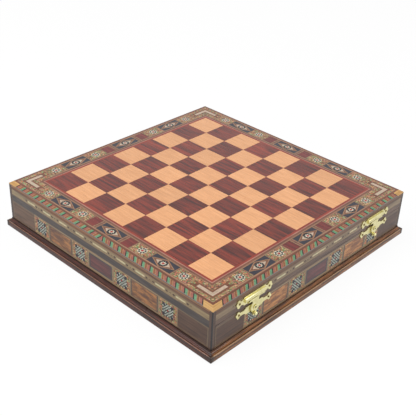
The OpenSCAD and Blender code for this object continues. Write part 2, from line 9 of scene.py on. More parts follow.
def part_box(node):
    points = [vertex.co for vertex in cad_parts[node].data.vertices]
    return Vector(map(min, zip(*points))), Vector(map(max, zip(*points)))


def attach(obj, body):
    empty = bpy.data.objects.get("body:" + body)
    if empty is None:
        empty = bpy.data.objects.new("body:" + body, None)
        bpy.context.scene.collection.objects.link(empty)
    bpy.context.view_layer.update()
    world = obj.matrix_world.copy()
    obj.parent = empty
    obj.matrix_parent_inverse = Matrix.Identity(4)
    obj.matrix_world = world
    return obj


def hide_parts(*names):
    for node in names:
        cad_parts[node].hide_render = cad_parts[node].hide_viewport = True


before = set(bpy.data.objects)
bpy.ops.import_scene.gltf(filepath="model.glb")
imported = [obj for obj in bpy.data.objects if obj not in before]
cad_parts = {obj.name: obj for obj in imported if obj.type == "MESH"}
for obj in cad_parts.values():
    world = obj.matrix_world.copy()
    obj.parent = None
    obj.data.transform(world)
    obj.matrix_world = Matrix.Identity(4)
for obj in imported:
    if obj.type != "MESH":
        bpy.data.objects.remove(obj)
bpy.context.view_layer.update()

# ---- sizes, in millimetres, as in the solids ----

MM = 0.001
veneer = 1.0  # thickness of a veneer
seam = 0.04  # dark joint left round a chip of mosaic
square = 38.0
field = 4 * square  # half the playing field
line_out = field + 2.8  # outer edge of the red line
pink_out = line_out + 1.6  # outer edges of the two lines round it
rim_out = pink_out + 1.4
flat = field + 32.0  # half the flat top
bevel_w, bevel_h, lip_h = 5.0, 3.5, 1.0
body = flat + bevel_w  # half the body
top_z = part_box("light_squares")[1].z / MM
edge_z = top_z - bevel_h - lip_h
corner_block, block_lean = 19.0, 4.0

# border of the top, along a side
cell_mid, cell_w, cell_line = field + 17.8, 17.4, 1.8
tile_l, tile_gap = 14.2, 6.2
inner_star_l, outer_star_l = 28.6, 25.8
row_l = field - 14.0
row_in, row_out = cell_mid - cell_w / 2 - cell_line, cell_mid + cell_w / 2 + cell_line
outer_pink = row_out + 0.5  # outer edge of the line outside the cells
hair, pair_line = 0.35, 1.7  # hairline, and the line beside it where two cells lie apart
lozenge_l = (row_l - tile_gap - tile_l - inner_star_l - outer_star_l - 3 * cell_line) / 1.5
tile_x = lozenge_l / 2 + tile_gap + tile_l / 2
star_x = tile_x + tile_l / 2 + cell_line + inner_star_l / 2
lozenge_x = star_x + inner_star_l / 2 + cell_line + lozenge_l / 2
end_star_x = lozenge_x + lozenge_l / 2 + cell_line + outer_star_l / 2
bar_in, bar_out, bar_end = field + 16.2, field + 21.0, field - 4.0
bar_rim_in, bar_rim_out = bar_in - 2.4, bar_out + 2.6
cross_x = row_l + 1.3  # outer edge of the line across a row's end
bar_wood_x = cross_x + 4.2  # where the walnut before a pearl bar begins
cell_star_r = cell_w / 2 - 2.4
lozenge_star_r = lozenge_l * cell_w / 2 / math.hypot(lozenge_l, cell_w) - 1.6

# sides
panel_z, panel_line, panel_top = 14.0, 2.0, 42.0
window_z, window_h = panel_z + panel_line, panel_top - panel_z - 2 * panel_line
window_mid = window_z + window_h / 2
dark_z, pearl_z = 51.2, 60.5
bead_z = 8.4  # top of the moulding's bead, where its cove ends
rivet_x, rivet_z, bore_r = 121.0, 39.2, 1.0
side_l = body - 5.0
middle_l, star_panel_l, burl_l = 47.0, 28.5, 47.5
star_panel_x = middle_l / 2 + panel_line + star_panel_l / 2
burl_x = star_panel_x + star_panel_l / 2 + panel_line + burl_l / 2
end_star_panel_x = burl_x + burl_l / 2 + panel_line + star_panel_l / 2
end_panel_x = end_star_panel_x + star_panel_l / 2 + panel_line
end_panel_l = side_l - panel_line - end_panel_x
pearl_bar_h, pearl_mid_l, pearl_l, pearl_gap, pearls = 2.4, 26.0, 15.6, 18.1, 4
pearl_x = pearl_mid_l / 2 + pearl_gap + pearl_l / 2
strip_mid, strip_line = (dark_z + pearl_z) / 2, 0.9
gem_off, end_gem_off = 3.4, 8.3  # from a bar's end to the middle of a diamond
gem, small_gem = (2.3, 1.6), (1.2, 0.7)  # half a diamond's length and height
panel_gap = 0.1  # what a panel is shorter than its window

# drawers, as the front one lies
drawer_in, inner, bay_end, board_t, columns = 170.5, 179.0, 12.5, 3.0, 4
column_w = (2 * drawer_in - (columns - 1) * board_t) / columns
row_d = (inner - bay_end - board_t) / 2
row_mid = (inner + bay_end) / 2
pad_gap, pad_h, pad_edge = 0.5, 2.9, 0.62  # gap round a pad, its height, its edge's share of it

# ---- new objects ----


def added(name, data):
    """A new object in the scene."""
    made = bpy.data.objects.new(name, data)
    bpy.context.scene.collection.objects.link(made)
    return made


def meshed(name, points, faces, *finishes):
    """A new mesh object with its finishes."""
    mesh = bpy.data.meshes.new(name)
    mesh.from_pydata(points, [], faces)
    for finish in finishes:
        mesh.materials.append(finish)
    return added(name, mesh)


# ---- camera ----

camera_at = Vector((-0.68992, -0.63486, 0.60256))
camera_sight = Vector((0.62999, 0.57837, -0.51827)).normalized()
camera_roll = math.radians(2.5415)
camera_lens = 69.04


def make_camera():
    camera = added("camera", bpy.data.cameras.new("camera"))
    level = camera_sight.cross(Vector((0, 0, 1))).normalized()
    rise = level.cross(camera_sight)
    right = level * math.cos(camera_roll) + rise * math.sin(camera_roll)
    up = rise * math.cos(camera_roll) - level * math.sin(camera_roll)
    turn = Matrix((right, up, -camera_sight)).transposed()
    camera.matrix_world = Matrix.Translation(camera_at) @ turn.to_4x4()
    camera.data.lens = camera_lens
    camera.data.sensor_width = 36
    camera.data.clip_start, camera.data.clip_end = 0.01, 50
    bpy.context.scene.camera = camera


make_camera()

# ---- writing materials ----


def tone(code):
    """A colour from its six-digit code."""
    parts = [int(code[i:i + 2], 16) / 255 for i in (0, 2, 4)]
    return (*[p / 12.92 if p < 0.04045 else ((p + 0.055) / 1.055) ** 2.4 for p in parts], 1)


def node(tree, kind, sockets=None, **settings):
    made = tree.nodes.new("ShaderNode" + kind)
    for key, value in settings.items():
        setattr(made, key, value)
    for key, value in (sockets or {}).items():
        if isinstance(value, bpy.types.NodeSocket):
            tree.links.new(value, made.inputs[key])
        else:
            made.inputs[key].default_value = value
    return made


def figure(tree, operation, *values):
    return node(tree, "Math", dict(enumerate(values)), operation=operation).outputs[0]


def vector(tree, operation, *values):
    return node(tree, "VectorMath", dict(enumerate(values)), operation=operation).outputs[0]


def scaled(tree, value, factor):
    return node(tree, "VectorMath", {0: value, "Scale": factor}, operation="SCALE").outputs[0]


def split(tree, place):
    """The three parts of a place."""
    return node(tree, "SeparateXYZ", {0: place}).outputs


def joined(tree, *parts):
    return node(tree, "CombineXYZ", dict(enumerate(parts))).outputs[0]


def swapped(tree, place, order):
    """The place with its axes in another order, as in yxz."""
    parts = split(tree, place)
    return joined(tree, *[parts["xyz".index(axis)] for axis in order])


def mixed(tree, share, first, second, how="MIX"):
    sockets = {0: share, 6: first, 7: second}
    return node(tree, "Mix", sockets, data_type="RGBA", blend_type=how).outputs[2]


def shaded(tree, color, light):
    """A colour made lighter or darker."""
    shade = node(tree, "CombineColor", {0: light, 1: light, 2: light}).outputs[0]
    return mixed(tree, 1.0, color, shade, "MULTIPLY")


def ramped(tree, value, stops, how="LINEAR"):
    """The colour that a value picks from a row of stops."""
    made = node(tree, "ValToRGB", {0: value})
    made.color_ramp.interpolation = how
    row = made.color_ramp.elements
    for i, (at, code) in enumerate(stops):
        stop = row[i] if i < 2 else row.new(at)
        stop.position, stop.color = at, tone(code)
    return made.outputs[0]


def spread(tree, value, low, high, to_low=0.0, to_high=1.0):
    """Smooth step of a value from one range to another."""
    sockets = {0: value, 1: low, 2: high, 3: to_low, 4: to_high}
    return node(tree, "MapRange", sockets, interpolation_type="SMOOTHSTEP").outputs[0]


def step(tree, value, low, high, to_low=0.0, to_high=1.0):
    """Smooth step of a length between two limits in millimetres."""
    return spread(tree, value, low * MM, high * MM, to_low, to_high)


def band(tree, value, a, b, c, d, share):
    """Rises from a to b and falls from c to d, in millimetres."""
    return figure(tree, "MULTIPLY", step(tree, value, a, b), step(tree, value, c, d, share, 0.0))


def noise(tree, place, scale, detail=2.0, roughness=0.5, warp=0.0, gives="Fac"):
    sockets = {"Vector": place, "Scale": scale, "Detail": detail, "Roughness": roughness,
               "Distortion": warp}
    return node(tree, "TexNoise", sockets).outputs[gives]


def group(name, takes, gives):
    """A new node group: its tree, its place, and the sockets that it takes and gives."""
    tree = bpy.data.node_groups.new(name, "ShaderNodeTree")
    for way, sockets in (("INPUT", {"Vector": "Vector", **takes}), ("OUTPUT", gives)):
        for label, kind in sockets.items():
            tree.interface.new_socket(label, in_out=way, socket_type="NodeSocket" + kind)
    taken = tree.nodes.new("NodeGroupInput").outputs
    given = tree.nodes.new("NodeGroupOutput").inputs
    return tree, taken["Vector"], taken, given


def give(tree, gives, **values):
    """Links what a node group gives."""
    for label, value in values.items():
        tree.links.new(value, gives[label])


def placed(tree, made, **sockets):
    """A node group placed in a material."""
    return node(tree, "Group", sockets, node_tree=made).outputs


# ---- effects that several finishes share ----


def along_sides():
    """Turns a place into along, across and up, with mitres at the corners of the box.
    Flank is 1 at the left and right sides, and Far grows to 1 there towards the back."""
    tree, place, _, gives = group(
        "along_sides", {}, {"Vector": "Vector", "Flank": "Float", "Far": "Float"})
    x, y, z = split(tree, place)
    is_side = figure(tree, "GREATER_THAN", figure(tree, "ABSOLUTE", x),
                     figure(tree, "ABSOLUTE", y))
    along = node(tree, "Mix", {0: is_side, 2: x, 3: y}).outputs[0]
    across = node(tree, "Mix", {0: is_side, 2: y, 3: x}).outputs[0]
    far = figure(tree, "MULTIPLY", is_side, spread(tree, y, -0.1, 0.1, 0.1, 1.0))
    give(tree, gives, Vector=joined(tree, along, across, z), Flank=is_side, Far=far)
    return tree


def wood_grain():
    """Figure, fibres, pores and veins of a veneer whose grain runs along the first axis."""
    tree, place, takes, gives = group(
        "wood_grain",
        {"Light": "Color", "Dark": "Color", "Vein": "Color", "Scale": "Float",
         "Contrast": "Float", "Veins": "Float"},
        {"Color": "Color", "Height": "Float"})
    fine = scaled(tree, vector(tree, "MULTIPLY", place, (0.07, 1.0, 1.0)), takes["Scale"])
    sway = noise(tree, scaled(tree, fine, 0.3), 1.0, gives="Color")
    bent = vector(tree, "ADD", fine, scaled(tree, vector(tree, "SUBTRACT", sway, (0.5,) * 3), 2.2))
    bands = spread(tree, noise(tree, bent, 1.0, 5.0, 0.62), 0.34, 0.66)
    share = figure(tree, "MINIMUM", figure(tree, "MULTIPLY", bands, takes["Contrast"]), 1.0)
    base = mixed(tree, share, takes["Light"], takes["Dark"])
    cloud = noise(tree, scaled(tree, bent, 0.45), 1.0)
    line = figure(tree, "ABSOLUTE", figure(tree, "SUBTRACT", cloud, 0.5))
    vein = figure(tree, "MULTIPLY", spread(tree, line, 0.0, 0.035, 1.0, 0.0), takes["Veins"])
    veined = mixed(tree, vein, base, takes["Vein"])
    fibre = noise(tree, vector(tree, "MULTIPLY", fine, (2.0, 7.0, 7.0)), 1.0, 3.0)
    pores = noise(tree, vector(tree, "MULTIPLY", fine, (5.0, 16.0, 16.0)), 1.0, 1.0)
    light = figure(tree, "MULTIPLY", spread(tree, fibre, 0.3, 0.7, 0.86, 1.1),
                   spread(tree, pores, 0.6, 0.72, 1.0, 0.78))
    give(tree, gives, Color=shaded(tree, veined, light), Height=light)
    return tree


def piece_variety():
    """Gives each cell of a square grid its own stretch of wood and its own tone."""
    tree, place, takes, gives = group(
        "piece_variety", {"Size": "Float"}, {"Vector": "Vector", "Tone": "Float"})
    size = joined(tree, takes["Size"], takes["Size"], takes["Size"])
    cell = vector(tree, "FLOOR", vector(tree, "DIVIDE", place, size))
    chance = node(tree, "TexWhiteNoise", {"Vector": cell}).outputs
    moved = vector(tree, "ADD", place, scaled(tree, chance["Color"], 3.0))
    give(tree, gives, Vector=moved, Tone=chance["Value"])
    return tree


def chip_mosaic():
    """Triangular chips of dyed wood, each of one tone, side by side."""
    tree, place, takes, gives = group(
        "chip_mosaic", {"Chip": "Float"}, {"Color": "Color", "Height": "Float"})
    x, y, _ = split(tree, place)
    rise = figure(tree, "DIVIDE", y, figure(tree, "MULTIPLY", takes["Chip"], 0.866))
    run = figure(tree, "SUBTRACT", figure(tree, "DIVIDE", x, takes["Chip"]),
                 figure(tree, "MULTIPLY", rise, 0.5))
    within = figure(tree, "ADD", figure(tree, "FRACT", run), figure(tree, "FRACT", rise))
    half = figure(tree, "GREATER_THAN", within, 1.0)
    cell = joined(tree, figure(tree, "FLOOR", run), figure(tree, "FLOOR", rise), half)
    chance = node(tree, "TexWhiteNoise", {"Vector": cell}).outputs["Value"]
    chips = [(0.0, "6b4632"), (0.22, "6f7a48"), (0.36, "a8623e"), (0.50, "8f6f4c"),
             (0.64, "46302a"), (0.73, "a06c5c"), (0.84, "7d9668"), (0.92, "c49e72")]
    give(tree, gives, Color=ramped(tree, chance, chips, "CONSTANT"), Height=chance)
    return tree


def dyed_chip():
    """One chip colour that wanders a little from chip to chip and along its fibres."""
    tree, place, takes, gives = group(
        "dyed_chip", {"Tint": "Color", "Wander": "Float"}, {"Color": "Color", "Height": "Float"})
    slow = noise(tree, place, 420.0, 1.0)
    fibre = noise(tree, vector(tree, "MULTIPLY", place, (900.0, 5000.0, 3000.0)), 1.0)
    change = figure(tree, "SUBTRACT", figure(tree, "ADD", slow, fibre), 1.0)
    swing = figure(tree, "MULTIPLY", takes["Wander"], 2.0)
    light = figure(tree, "MULTIPLY_ADD", change, swing, 1.0)
    give(tree, gives, Color=shaded(tree, takes["Tint"], light), Height=fibre)
    return tree


def lacquer_skin():
    """Faint smears and a brushed skin on clear lacquer."""
    tree, place, takes, gives = group(
        "lacquer_skin", {"Gloss": "Float"}, {"Roughness": "Float", "Height": "Float"})
    smear = noise(tree, place, 45.0, 3.0, 0.6, 0.6)
    skin = noise(tree, place, 260.0)
    dull = figure(tree, "MULTIPLY_ADD", smear, 0.16, takes["Gloss"])
    give(tree, gives, Roughness=dull, Height=skin)
    return tree


def polished_metal():
    """Soft clouds, darker pits and fine scratches on polished metal."""
    tree, place, takes, gives = group(
        "polished_metal", {"Bright": "Color", "Dull": "Color", "Polish": "Float"},
        {"Color": "Color", "Roughness": "Float", "Height": "Float"})
    cloud = noise(tree, place, 130.0, 4.0, 0.6)
    pits = noise(tree, place, 1500.0)
    rubs = noise(tree, vector(tree, "MULTIPLY", place, (500.0, 500.0, 6000.0)), 1.0)
    dull = figure(tree, "ADD", spread(tree, cloud, 0.45, 0.72, 0.0, 0.5),
                  spread(tree, pits, 0.62, 0.78, 0.0, 0.35))
    worn = figure(tree, "MULTIPLY_ADD", figure(tree, "ADD", cloud, rubs), 0.12, takes["Polish"])
    give(tree, gives, Color=mixed(tree, dull, takes["Bright"], takes["Dull"]), Roughness=worn,
         Height=figure(tree, "ADD", rubs, pits))
    return tree


ALONG = along_sides()
GRAIN = wood_grain()
VARIETY = piece_variety()
CHIPS = chip_mosaic()
DYED = dyed_chip()
SKIN = lacquer_skin()
METAL = polished_metal()

# ---- finishes ----

lacquer_relief = 0.0001  # in metres


def new_finish(name, specular, coat=0.0, metallic=0.0, roughness=0.5):
    """An empty finish, with its shader's plain values set."""
    finish = bpy.data.materials.new(name)
    finish.use_nodes = True
    tree = finish.node_tree
    shader = tree.nodes["Principled BSDF"]
    shader.inputs["Specular IOR Level"].default_value = specular
    shader.inputs["Metallic"].default_value = metallic
    shader.inputs["Roughness"].default_value = roughness
    if coat:
        shader.inputs["Coat Weight"].default_value = coat
        shader.inputs["Coat Roughness"].default_value = 0.08
    return finish, tree, shader, node(tree, "TexCoord").outputs["Object"]


def bumped(tree, shader, strength, reach, height):
    """Links a height to the shader as fine relief. reach is its depth in metres."""
    made = node(tree, "Bump", {"Strength": strength, "Distance": reach, "Height": height})
    tree.links.new(made.outputs[0], shader.inputs["Normal"])


def dress(tree, shader, color, height, gloss, place, bump=0.15):
    """Joins a colour, a height and the lacquer to the shader."""
    skin = placed(tree, SKIN, Vector=place, Gloss=gloss)
    tree.links.new(color, shader.inputs["Base Color"])
    tree.links.new(skin["Roughness"], shader.inputs["Roughness"])
    rise = figure(tree, "MULTIPLY_ADD", skin["Height"], 0.4, height)
    bumped(tree, shader, bump, lacquer_relief, rise)


def wood(name, codes, scale, contrast=0.8, veins=0.2, run="along", gloss=0.28, coat=0.25,
         flank="", share="Flank", curl=1.0, marks=None):
    """A lacquered veneer, from the codes of its light, its dark and its veins. run says which
    way its grain lies, and curl shortens its figure. flank gives the codes that it has on the
    left and right sides or at their far ends, and marks adds lines, painted highlights and
    painted shade to its colour."""
    finish, tree, shader, place = new_finish(name, 0.2, coat)
    if run == "along":
        sides = placed(tree, ALONG, Vector=place)
    else:
        sides = {"Vector": swapped(tree, place, run)}
    lie = sides["Vector"]
    if curl > 1.0:
        lie = vector(tree, "MULTIPLY", lie, (curl, 1.0, 1.0))
    tones = [tone(code) for code in codes.split()]
    for i, code in enumerate(flank.split()):
        tones[i] = mixed(tree, sides[share], tones[i], tone(code))
    grain = placed(tree, GRAIN, Vector=lie, Light=tones[0], Dark=tones[1], Vein=tones[2],
                   Scale=scale, Contrast=contrast, Veins=veins)
    color = marks(tree, sides, grain["Color"]) if marks else grain["Color"]
    dress(tree, shader, color, grain["Height"], gloss, place)
    return finish


def field_wood(name, codes, scale, contrast, veins, low, high):
    """The veneer of the squares: each square has its own stretch of wood and tone."""
    finish, tree, shader, place = new_finish(name, 0.2, 0.3)
    own = placed(tree, VARIETY, Vector=place, Size=square * MM)
    light, dark, vein = [tone(code) for code in codes.split()]
    grain = placed(tree, GRAIN, Vector=swapped(tree, own["Vector"], "yxz"), Light=light, Dark=dark,
                   Vein=vein, Scale=scale, Contrast=contrast, Veins=veins)
    color = shaded(tree, grain["Color"], spread(tree, own["Tone"], 0.0, 1.0, low, high))
    dress(tree, shader, color, grain["Height"], 0.2, place, 0.1)
    return finish


def mosaic(name, size, upright=False):
    """A ground of small triangular chips, flat on the top or upright on a side."""
    finish, tree, shader, place = new_finish(name, 0.2, 0.25)
    lie = placed(tree, ALONG, Vector=place)["Vector"]
    if upright:
        lie = swapped(tree, lie, "xzy")
    chips = placed(tree, CHIPS, Vector=lie, Chip=size * MM)
    dress(tree, shader, chips["Color"], chips["Height"], 0.28, place, 0.08)
    return finish


def chip(name, code, wander=0.25):
    finish, tree, shader, place = new_finish(name, 0.2, 0.25)
    dyed = placed(tree, DYED, Vector=place, Tint=tone(code), Wander=wander)
    dress(tree, shader, dyed["Color"], dyed["Height"], 0.25, place, 0.08)
    return finish


def pearl_finish(name, tint):
    """Mother-of-pearl: cream, with clouds of pink and green that lie in bands."""
    finish, tree, shader, place = new_finish(name, 0.4, 0.3)
    lie = placed(tree, ALONG, Vector=place)["Vector"]
    cloud = noise(tree, vector(tree, "MULTIPLY", lie, (0.35, 1.0, 1.0)), 330.0, 3.0, 0.6, 1.2)
    clouds = [(0.3, "b3a697"), (0.42, "cfc3a8"), (0.5, "dbc7b8"), (0.58, "c4c9b0"),
              (0.72, "d9d3bd")]
    color = mixed(tree, 1.0, ramped(tree, cloud, clouds), tone(tint), "MULTIPLY")
    dress(tree, shader, color, cloud, 0.2, place, 0.06)
    return finish


def metal(name, bright, dull, polish, bored=False):
    """Polished metal. The hollow rivets get painted shade inside their bores."""
    finish, tree, shader, place = new_finish(name, 0.5, metallic=1.0)
    made = placed(tree, METAL, Vector=place, Bright=tone(bright), Dull=tone(dull), Polish=polish)
    color = made["Color"]
    if bored:
        flat_place = vector(tree, "MULTIPLY", vector(tree, "ABSOLUTE", place), (1.0, 0.0, 1.0))
        sockets = {0: flat_place, 1: (rivet_x * MM, 0.0, rivet_z * MM)}
        off = node(tree, "VectorMath", sockets, operation="DISTANCE").outputs["Value"]
        # Painted shade inside the bore of each hollow rivet.
        bore_shade = step(tree, off, bore_r + 0.05, bore_r + 0.25, 1.0, 0.0)
        color = mixed(tree, bore_shade, color, tone("140f08"))
    tree.links.new(color, shader.inputs["Base Color"])
    tree.links.new(made["Roughness"], shader.inputs["Roughness"])
    bumped(tree, shader, 0.12, 0.00005, made["Height"])
    return finish


def velvet_finish():
    """Deep red velvet with a brushed pile."""
    finish, tree, shader, place = new_finish("velvet", 0.1, roughness=0.9)
    shader.inputs["Sheen Weight"].default_value = 0.6
    shader.inputs["Sheen Roughness"].default_value = 0.4
    shader.inputs["Sheen Tint"].default_value = tone("c06070")
    brushed = noise(tree, place, 60.0, 3.0, 0.6, 0.8)
    pile = noise(tree, place, 4000.0, 1.0)
    share = spread(tree, figure(tree, "MULTIPLY_ADD", pile, 0.3, brushed), 0.4, 0.9)
    tree.links.new(mixed(tree, share, tone("5c1420"), tone("7e2230")), shader.inputs["Base Color"])
    bumped(tree, shader, 0.5, 0.0003, pile)
    return finish


def case_marks(tree, sides, color):
    """An orange line under the bevel of the walls, a dark edge, and painted shade at the foot."""
    height = split(tree, sides["Vector"])[2]
    share = figure(tree, "MULTIPLY_ADD", sides["Flank"], 0.4, 0.2)
    line = figure(tree, "MULTIPLY", share, step(tree, height, edge_z - 2.4, edge_z - 1.6))
    color = mixed(tree, line, color, tone("9c6e48"))
    edge = step(tree, height, edge_z - 0.6, edge_z - 0.3)
    # Painted shade on the foot of the walls, where they meet the moulding.
    foot = step(tree, height, panel_z - 0.8, panel_z, 1.0, 0.0)
    return mixed(tree, figure(tree, "MAXIMUM", edge, foot), color, tone("3c2b26"))


def moulding_light_and_shade(tree, sides, color):
    """Paints a pale highlight along the moulding's bead, and painted shade under the bead, where
    the cove meets the bead and at the joint with the walls; it also darkens its toe and corners."""
    x, y, height = split(tree, vector(tree, "ABSOLUTE", sides["Vector"]))
    out = figure(tree, "MAXIMUM", x, y)
    # Painted shade under the bead and where the cove meets the bead; the toe is darkened with it.
    under = band(tree, height, bead_z - 3.6, bead_z - 2.4, bead_z - 1.6, bead_z - 0.9, 0.7)
    groove = band(tree, out, body + 3.0, body + 3.8, body + 4.2, body + 4.5, 0.5)
    toe = step(tree, height, 0.6, 1.8, 0.6, 0.0)
    dark = figure(tree, "MAXIMUM", figure(tree, "MAXIMUM", under, toe), groove)
    color = mixed(tree, dark, color, tone("28180f"))
    # A painted highlight along the top of the bead, paler on the front and back than on the left
    # and right sides.
    highlight_share = figure(tree, "MULTIPLY", step(tree, height, 4.0, 5.0),
                   band(tree, out, body + 4.3, body + 4.7, body + 5.4, body + 5.9, 0.9))
    painted_highlight = mixed(tree, sides["Flank"], tone("b89a7c"), tone("8a6656"))
    color = mixed(tree, highlight_share, color, painted_highlight)
    # Painted shade at the joint with the walls; the corners are darkened too.
    joint = step(tree, height, panel_z - 2.6, panel_z - 2.0)
    corner = step(tree, figure(tree, "MINIMUM", x, y), body - 1.0, body + 3.0, 0.0, 0.85)
    return mixed(tree, figure(tree, "MAXIMUM", joint, corner), color, tone("2c1d17"))


def post_marks(tree, sides, color):
    """A dark line down each corner of the box. The grain of the posts stands upright."""
    _, x, y = split(tree, vector(tree, "ABSOLUTE", sides["Vector"]))
    corner = step(tree, figure(tree, "MINIMUM", x, y), body - 1.5, body - 0.9)
    return mixed(tree, corner, color, tone("1d191c"))


def panel_line_marks(tree, sides, color):
    """Fades the lines round the panels to brown round the end panels."""
    along = figure(tree, "ABSOLUTE", split(tree, sides["Vector"])[0])
    faded = step(tree, along, end_panel_x - 1.5, end_panel_x + 1.0, 0.0, 0.7)
    return mixed(tree, faded, color, tone("4a3b32"))


PEACH = field_wood("peach_veneer", "dca171 c88c5c b6784b", 300, 0.5, 0.12, 0.94, 1.04)
ROSEWOOD = field_wood("rosewood_veneer", "7c2e1f 431813 9c3b24", 230, 1.0, 0.45, 0.85, 1.15)
RED_LINE = wood("red_line", "8f3321 702317 50150e", 300, 0.7)
TILE = wood("tile_rosewood", "7a2c26 561c1a 3a1210", 300, 0.9, 0.3, run="yxz", gloss=0.2)
PALE = wood("boxwood_line", "9c7657 815e44 644634", 420)
PINK_LINE = wood("pink_line", "a87565 8c5c4e 6a4238", 420)
HAIR = wood("dark_hairline", "4a3428 35251e 241814", 400)
BROWN = wood("border_walnut", "7c5242 5d3c31 402820", 330, 0.9, 0.3)
RIM = wood("rim_walnut", "76462b 583220 3c2215", 330, 0.9, 0.3)
LOZENGE = wood("lozenge_walnut", "7e5138 5e3a28 43281c", 380)
NIGHT = wood("night_veneer", "2f2c37 1e1c26 141217", 380)
MAPLE = wood("corner_maple", "c79d62 ab7e49 8a6437", 300, coat=0.35)
OLIVE = wood("olive_strip", "847158 6c5a47 544535", 360, veins=0.25,
             flank="8c7959 736047 594a35")
OLIVE_LINE = wood("olive_line", "8b7455 745e46 5c4936", 420, 0.7, marks=panel_line_marks)
SLATE = wood("slate_band", "6a5345 4e3d35 382b27", 330, 0.9, 0.3, flank="4c423e 37312f 262221")
PANEL_EDGE = wood("panel_edge", "5e4d40 483b32 352a25", 330)
BURL = wood("burl", "b8804d 714831 503322", 230, 1.0, 0.5, flank="a06c3c 583a2c 3b2b26",
            curl=3.5)
PLUM = wood("plum_rosewood", "703e3e 422b30 352328", 260, 1.0, 0.4,
            flank="6e3b39 40292c 332125")
PLUM_EDGE = wood("plum_edge", "473c3e 352c30 241e22", 330)
# On the left and right sides the end walnut grows lighter towards the back: painted light.
WALNUT = wood("end_walnut", "533a2c 3d2a22 2c1e18", 300, veins=0.3,
              flank="674c3a 4c382b 36261c", share="Far")
CORNER = wood("corner_walnut", "554035 3f2f28 2c201b", 330, veins=0.3, run="zxy", gloss=0.3,
              marks=post_marks)
MAHOGANY = wood("mahogany_moulding", "986134 4e2d1a 28160f", 420, 1.0, 0.5, gloss=0.22,
                flank="58291b 2b130d", marks=moulding_light_and_shade)
CASE = wood("case_walnut", "6c4d3a 493225 312320", 330, veins=0.3, gloss=0.3,
            flank="774b2e 543420", share="Far", marks=case_marks)
INSIDE = wood("inside_wood", "c39a6e a67c52 8a623e", 160, gloss=0.5, coat=0.0)
INSIDE_DEEP = wood("inside_wood_across", "bf966a a2784e 865e3a", 160, run="yxz", gloss=0.5,
                   coat=0.0)
GROUND = mosaic("chip_ground", 2.1)
GROUND_UPRIGHT = mosaic("chip_ground_upright", 2.3, upright=True)
PEARL = pearl_finish("pearl", "dcd7ba")
PEARL_DUSK = pearl_finish("pearl_dusk", "d8c8c0")
BLACK = chip("black_chip", "24211f")
WHITE = chip("white_chip", "c8c0ac", 0.6)
GREY = chip("grey_chip", "a0a598", 0.9)
RED = chip("red_chip", "9a3328")
GREEN = chip("green_chip", "5f8766", 0.45)
PINK = chip("pink_chip", "91594c", 0.45)
CREAM = chip("cream_chip", "94704e", 0.4)
SIENNA = chip("sienna_chip", "7c4a34", 0.45)
# The lip under the rope stripes: a greyish strip, a painted highlight along the bevel's lower
# edge.
LIP_HIGHLIGHT = chip("lip_painted_highlight", "756862")
BRASS = metal("brass", "dfd7a2", "a59a58", 0.14)
RIVET_BRASS = metal("rivet_brass", "dfd7a2", "a59a58", 0.14, bored=True)
OLD_BRASS = metal("old_brass", "6c5630", "33260f", 0.3)
VELVET = velvet_finish()

# ---- cutting and laying veneers ----


def turned(side, x, y, z):
    """A place on the front side, in millimetres, carried to another side, in metres."""
    for _ in range(side):
        x, y = -y, x
    return (x * MM, y * MM, z * MM)


def on_top(side):
    return lambda u, v, w: turned(side, u, v, top_z + w)


def on_face(side):
    return lambda u, v, w: turned(side, u, -body - w, v)


def counter_clockwise(outline):
    area = sum(a[0] * b[1] - b[0] * a[1] for a, b in zip(outline, outline[1:] + outline[:1]))
    return outline if area > 0 else outline[::-1]


def shrunk(outline, gap):
    """A convex outline with each edge moved in by a gap."""
    edges = []
    for a, b in zip(outline, outline[1:] + outline[:1]):
        run = (Vector(b) - Vector(a)).normalized()
        edges.append((Vector(a) + Vector((-run.y, run.x)) * gap, run))
    corners = []
    for (p, r), (q, s) in zip(edges[-1:] + edges[:-1], edges):
        cross = r.x * s.y - r.y * s.x
        reach = ((q - p).x * s.y - (q - p).y * s.x) / cross
        corners.append(tuple(p + r * reach))
    return corners


def left_part(outline):
    """The part of a convex outline to the left of the middle of its side."""
    kept = []
    for a, b in zip(outline, outline[1:] + outline[:1]):
        if a[0] <= 0:
            kept.append(a)
        if a[0] * b[0] < 0:
            share = a[0] / (a[0] - b[0])
            kept.append((a[0] + (b[0] - a[0]) * share, a[1] + (b[1] - a[1]) * share))
    return kept


def rectangle(u0, u1, v0, v1):
    return [(u0, v0), (u1, v0), (u1, v1), (u0, v1)]


class Marquetry:
    """Veneers that lie side by side, gathered into one mesh."""

    def __init__(self, *woods):
        self.woods = list(woods)
        self.points, self.faces, self.kinds = [], [], []

    def lay(self, outline, wood, place, top=None, depth=veneer, joint=0.0):
        """Lays one veneer. top gives its height over the surface at a point."""
        outline = counter_clockwise([tuple(p) for p in outline])
        if joint:
            outline = shrunk(outline, joint)
        first, count = len(self.points), len(outline)
        self.points += [place(u, v, -depth) for u, v in outline]
        self.points += [place(u, v, top(v) if top else 0.0) for u, v in outline]
        low, high = range(first, first + count), range(first + count, first + 2 * count)
        self.faces += [tuple(high), tuple(reversed(low))]
        self.faces += [(low[i - 1], low[i], high[i], high[i - 1]) for i in range(count)]
        self.kinds += [self.woods.index(wood)] * (count + 2)

    def piece(self, name, body_name, slot, *nodes):
        """Makes the mesh, which rides on a body and stands for the solid's nodes."""
        made = meshed(name, self.points, self.faces, *self.woods)
        made.data.polygons.foreach_set("material_index", self.kinds)
        made.data.update()
        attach(made, body_name)
        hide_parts(*nodes)


def ray(radius, angle, at):
    a = math.radians(angle)
    return (at[0] + radius * math.cos(a), at[1] + radius * math.sin(a))


# An eight-rayed star of equal rhombs: its parts, in lengths of their side
STAR_TIP = 2 * math.cos(math.radians(22.5))
STAR_NOTCH = 1 + math.sqrt(2)
STAR_REACH = STAR_TIP + 2 * math.cos(math.radians(67.5))
STAR_HEART = 0.8


def star_outline(radius, at):
    side = radius / STAR_REACH
    return [ray(side * (STAR_NOTCH if i % 2 else STAR_REACH), 22.5 * i, at) for i in range(16)]


